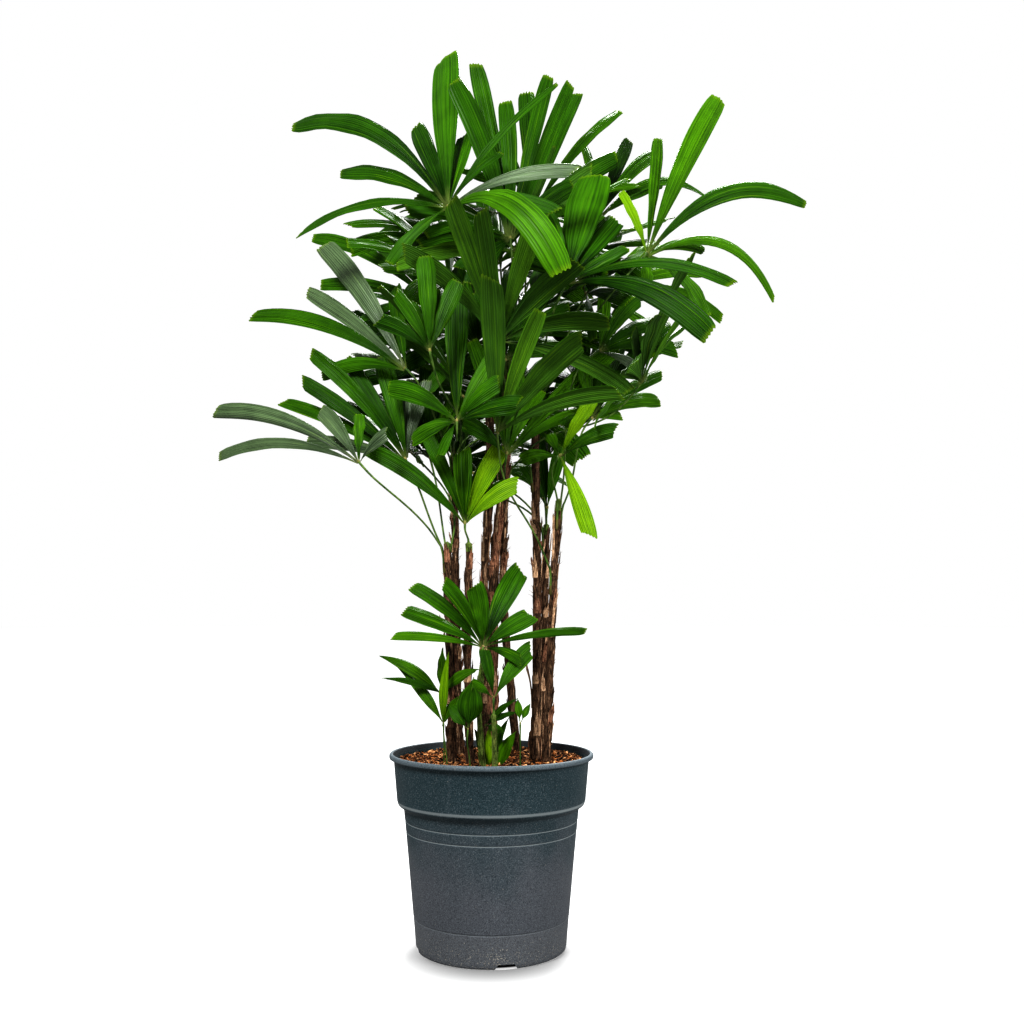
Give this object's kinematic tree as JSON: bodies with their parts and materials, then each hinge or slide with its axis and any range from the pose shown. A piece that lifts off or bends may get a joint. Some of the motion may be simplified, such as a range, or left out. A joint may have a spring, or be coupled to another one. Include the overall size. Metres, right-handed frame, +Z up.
{
  "type": "potted lady palm",
  "caption": "Clumping palm with fibre-covered canes and fans of long pleated leaflets, standing in a round plastic grower's pot of soil.",
  "frame": {"origin": "centre of the pot's flat underside, at the level it stands on", "axes": "+Z up along the pot's axis, which is also the longest way; -Y towards the side the picture shows; +X to that view's right"},
  "size_m": [0.9049, 0.5796, 1.2965],
  "materials": {
    "pot": "matte, slightly scuffed dark blue-green plastic",
    "soil": "rough bark and coir mix",
    "cane": "fibrous brown sheaths",
    "frond": "satin green leaf"
  },
  "bodies": {
    "root": {"cane_a": "cane", "cane_b": "cane", "cane_c": "cane", "cane_d": "cane", "cane_e": "cane", "cane_f": "cane", "cane_g": "cane", "cane_h": "cane", "cane_i": "cane", "cane_j": "cane", "cane_k": "cane", "frond_01": "frond", "frond_02": "frond", "frond_03": "frond", "frond_04": "frond", "frond_05": "frond", "frond_06": "frond", "frond_07": "frond", "frond_08": "frond", "frond_09": "frond", "frond_10": "frond", "frond_11": "frond", "frond_12": "frond", "frond_13": "frond", "frond_14": "frond", "frond_15": "frond", "frond_16": "frond", "frond_17": "frond", "frond_18": "frond", "frond_19": "frond", "frond_20": "frond", "frond_21": "frond", "frond_22": "frond", "frond_23": "frond", "frond_24": "frond", "frond_25": "frond", "frond_26": "frond", "frond_27": "frond", "frond_28": "frond", "frond_29": "frond", "frond_30": "frond", "frond_31": "frond", "frond_32": "frond", "frond_33": "frond", "frond_34": "frond", "frond_35": "frond", "frond_36": "frond", "frond_37": "frond", "frond_38": "frond", "frond_39": "frond", "frond_40": "frond", "frond_41": "frond", "frond_42": "frond", "frond_43": "frond", "frond_44": "frond", "frond_45": "frond", "pot": "pot", "soil": "soil"}
  },
  "joints": []
}
